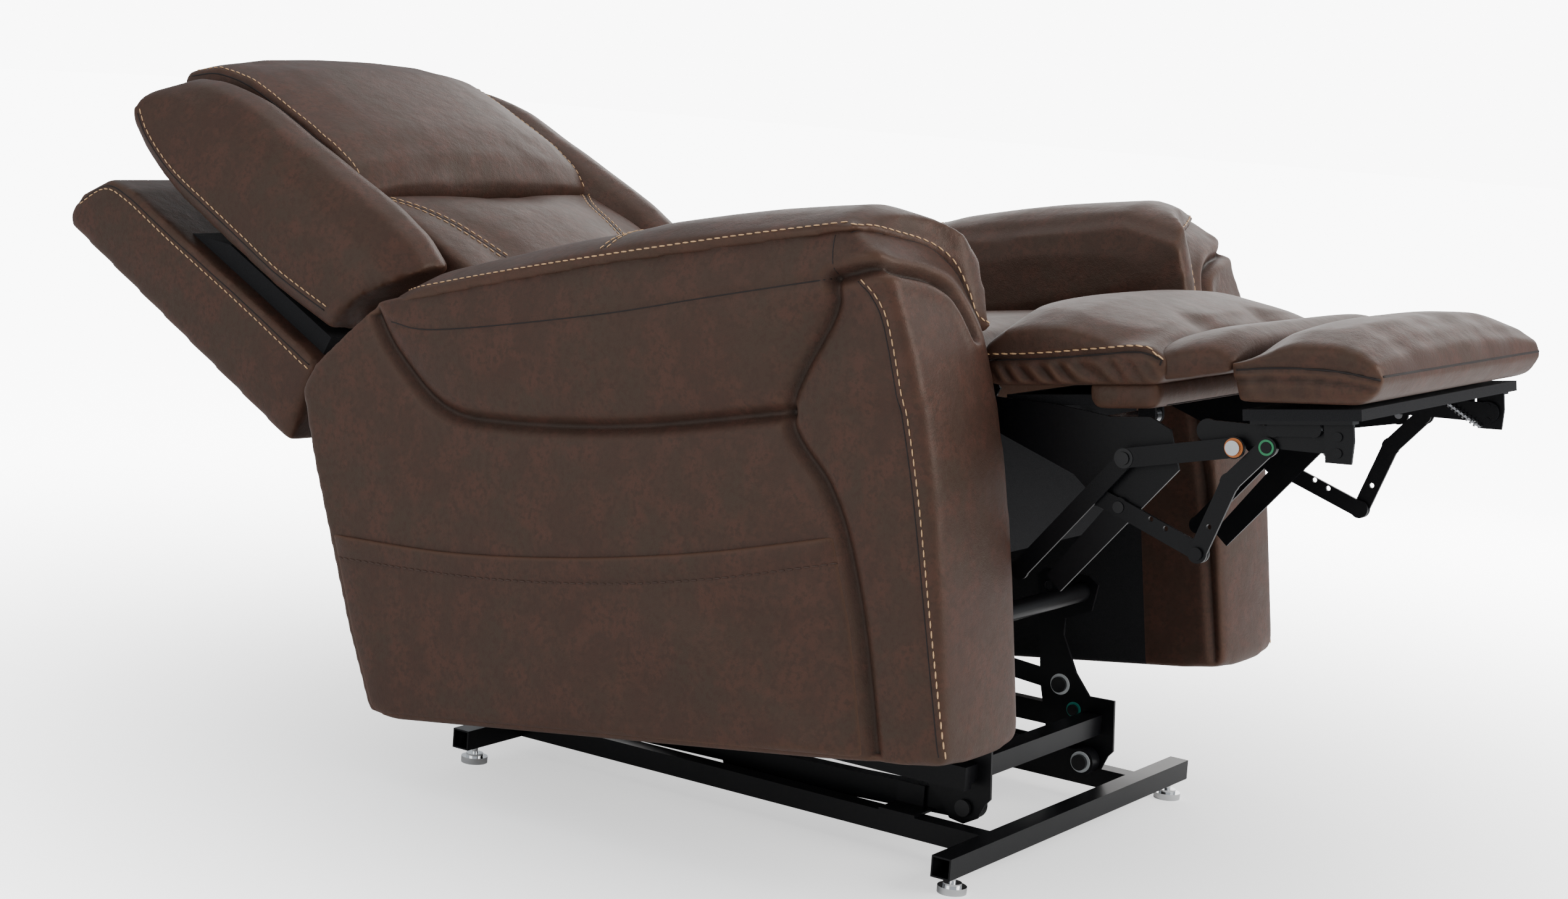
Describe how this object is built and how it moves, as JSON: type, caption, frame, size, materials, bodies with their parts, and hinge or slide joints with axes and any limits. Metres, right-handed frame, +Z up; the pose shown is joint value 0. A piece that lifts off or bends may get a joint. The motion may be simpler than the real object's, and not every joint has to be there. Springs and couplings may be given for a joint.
{
  "type": "lift recliner chair",
  "caption": "Powered lift recliner: leather-covered seat, wide arms, reclining back with tilting headrest and folding leg rest on a tilting steel lift base.",
  "frame": {"origin": "on the floor under the middle of the base", "axes": "+X to the sitter's left, the chair faces -Y, +Z up"},
  "size_m": [0.892, 1.8738, 0.8723],
  "materials": {
    "brown_leather": "dark chocolate pull-up leather, semi-gloss, tan contrast stitching",
    "black_steel": "black powder coat, semi-gloss",
    "zinc_steel": "zinc-plated steel",
    "chrome": "plated",
    "nylon": "moulded nylon",
    "plywood": "raw plywood",
    "black_plastic": "moulded, fine texture",
    "grey_plastic": "moulded"
  },
  "bodies": {
    "base": {"front_foot_bar": "black_steel", "rear_foot_bar": "black_steel", "base_side_rails": "black_steel", "arm_guide_brackets": "black_steel", "pivot_towers": "black_steel", "levelling_feet": "chrome", "base_pivot_bolts": "black_steel"},
    "lower_arms": {"lower_lift_arms": "black_steel"},
    "upper_arms": {"upper_lift_arms": "black_steel"},
    "lift_frame": {"lift_side_plates": "black_steel", "lift_rails": "black_steel", "torque_tube": "black_steel", "lift_pivot_bolts": "black_steel", "pivot_bushings": "nylon"},
    "chassis": {"seat_frame": "plywood", "seat_springs": "zinc_steel", "seat_cushion": "brown_leather", "seat_side_plates": "black_steel", "rear_hinge_plates": "black_steel", "arm_frames": "plywood", "right_arm_panel": "brown_leather", "left_arm_panel": "brown_leather", "right_arm_cap": "brown_leather", "left_arm_cap": "brown_leather", "arm_fronts": "brown_leather", "side_pockets": "brown_leather", "handset_body": "black_plastic", "handset_cord": "black_plastic"},
    "backrest": {"back_frame": "black_steel", "back_shell": "brown_leather", "back_cushion": "brown_leather", "lower_bolsters": "brown_leather"},
    "headrest": {"headrest_bracket": "black_steel", "headrest_pad": "brown_leather", "upper_bolsters": "brown_leather"},
    "thigh_rest": {"thigh_plates": "black_steel", "thigh_stays": "black_steel", "thigh_board": "plywood", "thigh_pad": "brown_leather", "bridge_pad": "brown_leather", "link_rivets": "black_steel", "rear_guide_links": "black_steel", "guide_bolts": "zinc_steel"},
    "rear_scissor": {"rear_scissor_links": "black_steel"},
    "front_scissor": {"front_scissor_links": "black_steel"},
    "footrest": {"front_guide_links": "black_steel", "footrest_brackets": "black_steel", "footrest_board": "plywood", "footrest_pad": "brown_leather", "footrest_springs": "zinc_steel"},
    "lift_motor": {"lift_motor": "black_plastic"},
    "lift_rod": {"lift_motor_rod": "zinc_steel"},
    "leg_motor": {"leg_motor": "black_plastic"},
    "leg_rod": {"leg_motor_rod": "zinc_steel"},
    "back_motor": {"back_motor": "black_plastic"},
    "back_rod": {"back_motor_rod": "zinc_steel"},
    "button_1": {"handset_button_1": "grey_plastic"},
    "button_2": {"handset_button_2": "grey_plastic"},
    "button_3": {"handset_button_3": "grey_plastic"},
    "button_4": {"handset_button_4": "grey_plastic"}
  },
  "joints": [
    {"name": "lift", "type": "hinge", "parent": "base", "child": "lower_arms", "pos_m": [0, 0.277, 0.05], "axis": [-1, 0, 0], "range_deg": [0, 38]},
    {"name": "lift_frame_pitch", "type": "hinge", "parent": "lower_arms", "child": "lift_frame", "pos_m": [0, -0.294, 0.062], "axis": [-1, 0, 0], "range_deg": [-62.56, 0]},
    {"name": "upper_arm_swing", "type": "hinge", "parent": "base", "child": "upper_arms", "pos_m": [0, 0.325, 0.204], "axis": [-1, 0, 0], "range_deg": [0, 37.83]},
    {"name": "lift_motor_swing", "type": "hinge", "parent": "base", "child": "lift_motor", "pos_m": [0, 0.297, 0.075], "axis": [-1, 0, 0], "range_deg": [0, 41.4]},
    {"name": "lift_motor_extend", "type": "slide", "parent": "lift_motor", "child": "lift_rod", "axis": [0, -0.9977, 0.0685], "range_m": [0, 0.07025]},
    {"name": "tilt", "type": "hinge", "parent": "lift_frame", "child": "chassis", "pos_m": [0, 0.377, 0.1], "axis": [-1, 0, 0], "range_deg": [-7.5, 0]},
    {"name": "recline", "type": "hinge", "parent": "chassis", "child": "backrest", "pos_m": [0, 0.38266, 0.37923], "axis": [1, 0, 0], "range_deg": [0, 50]},
    {"name": "back_motor_swing", "type": "hinge", "parent": "chassis", "child": "back_motor", "pos_m": [-0.06, -0.0515, 0.37587], "axis": [-1, 0, 0], "range_deg": [-6.27, 0]},
    {"name": "back_motor_extend", "type": "slide", "parent": "back_motor", "child": "back_rod", "axis": [0, 0.9829, -0.1841], "range_m": [0, 0.05458]},
    {"name": "headrest_tilt", "type": "hinge", "parent": "backrest", "child": "headrest", "pos_m": [0, 0.69084, 0.61513], "axis": [1, 0, 0], "range_deg": [-12, 8]},
    {"name": "footrest_fold", "type": "hinge", "parent": "chassis", "child": "thigh_rest", "pos_m": [0, -0.31383, 0.56675], "axis": [-1, 0, 0], "range_deg": [-85, 0]},
    {"name": "rear_scissor", "type": "hinge", "parent": "thigh_rest", "child": "rear_scissor", "pos_m": [0, -0.49042, 0.45887], "axis": [-1, 0, 0], "range_deg": [-14.14, 0]},
    {"name": "front_scissor", "type": "hinge", "parent": "rear_scissor", "child": "front_scissor", "pos_m": [0, -0.58876, 0.42441], "axis": [-1, 0, 0], "range_deg": [0, 33.88]},
    {"name": "footrest_travel", "type": "hinge", "parent": "front_scissor", "child": "footrest", "pos_m": [0, -0.65604, 0.54927], "axis": [-1, 0, 0], "range_deg": [-19.75, 0], "deforming": ["bridge_pad"]},
    {"name": "leg_motor_swing", "type": "hinge", "parent": "chassis", "child": "leg_motor", "pos_m": [0.06, 0.2175, 0.35055], "axis": [-1, 0, 0], "range_deg": [-0.272, 0]},
    {"name": "leg_motor_extend", "type": "slide", "parent": "leg_motor", "child": "leg_rod", "axis": [0, -0.9602, 0.2792], "range_m": [-0.11088, 0]},
    {"name": "handset_button_1_press", "type": "slide", "parent": "chassis", "child": "button_1", "axis": [-1, 0, 0], "range_m": [0, 0.0015], "stiffness_N_per_m": 80},
    {"name": "handset_button_2_press", "type": "slide", "parent": "chassis", "child": "button_2", "axis": [-1, 0, 0], "range_m": [0, 0.0015], "stiffness_N_per_m": 80},
    {"name": "handset_button_3_press", "type": "slide", "parent": "chassis", "child": "button_3", "axis": [-1, 0, 0], "range_m": [0, 0.0015], "stiffness_N_per_m": 80},
    {"name": "handset_button_4_press", "type": "slide", "parent": "chassis", "child": "button_4", "axis": [-1, 0, 0], "range_m": [0, 0.0015], "stiffness_N_per_m": 80}
  ],
  "couplings": [
    {"joint": "lift_frame_pitch", "follows": "lift", "ratio": -1.646},
    {"joint": "upper_arm_swing", "follows": "lift", "ratio": 0.9952},
    {"joint": "lift_motor_swing", "follows": "lift", "ratio": 1.0891},
    {"joint": "lift_motor_extend", "follows": "lift", "m_per_rad": 0.10577},
    {"joint": "back_motor_swing", "follows": "recline", "ratio": -0.12529},
    {"joint": "back_motor_extend", "follows": "recline", "m_per_rad": 0.062432},
    {"joint": "rear_scissor", "follows": "footrest_fold", "ratio": 0.16618},
    {"joint": "front_scissor", "follows": "footrest_fold", "ratio": -0.39841},
    {"joint": "footrest_travel", "follows": "footrest_fold", "ratio": 0.23223},
    {"joint": "leg_motor_swing", "follows": "footrest_fold", "ratio": 0.00308},
    {"joint": "leg_motor_extend", "follows": "footrest_fold", "m_per_rad": 0.07467}
  ]
}
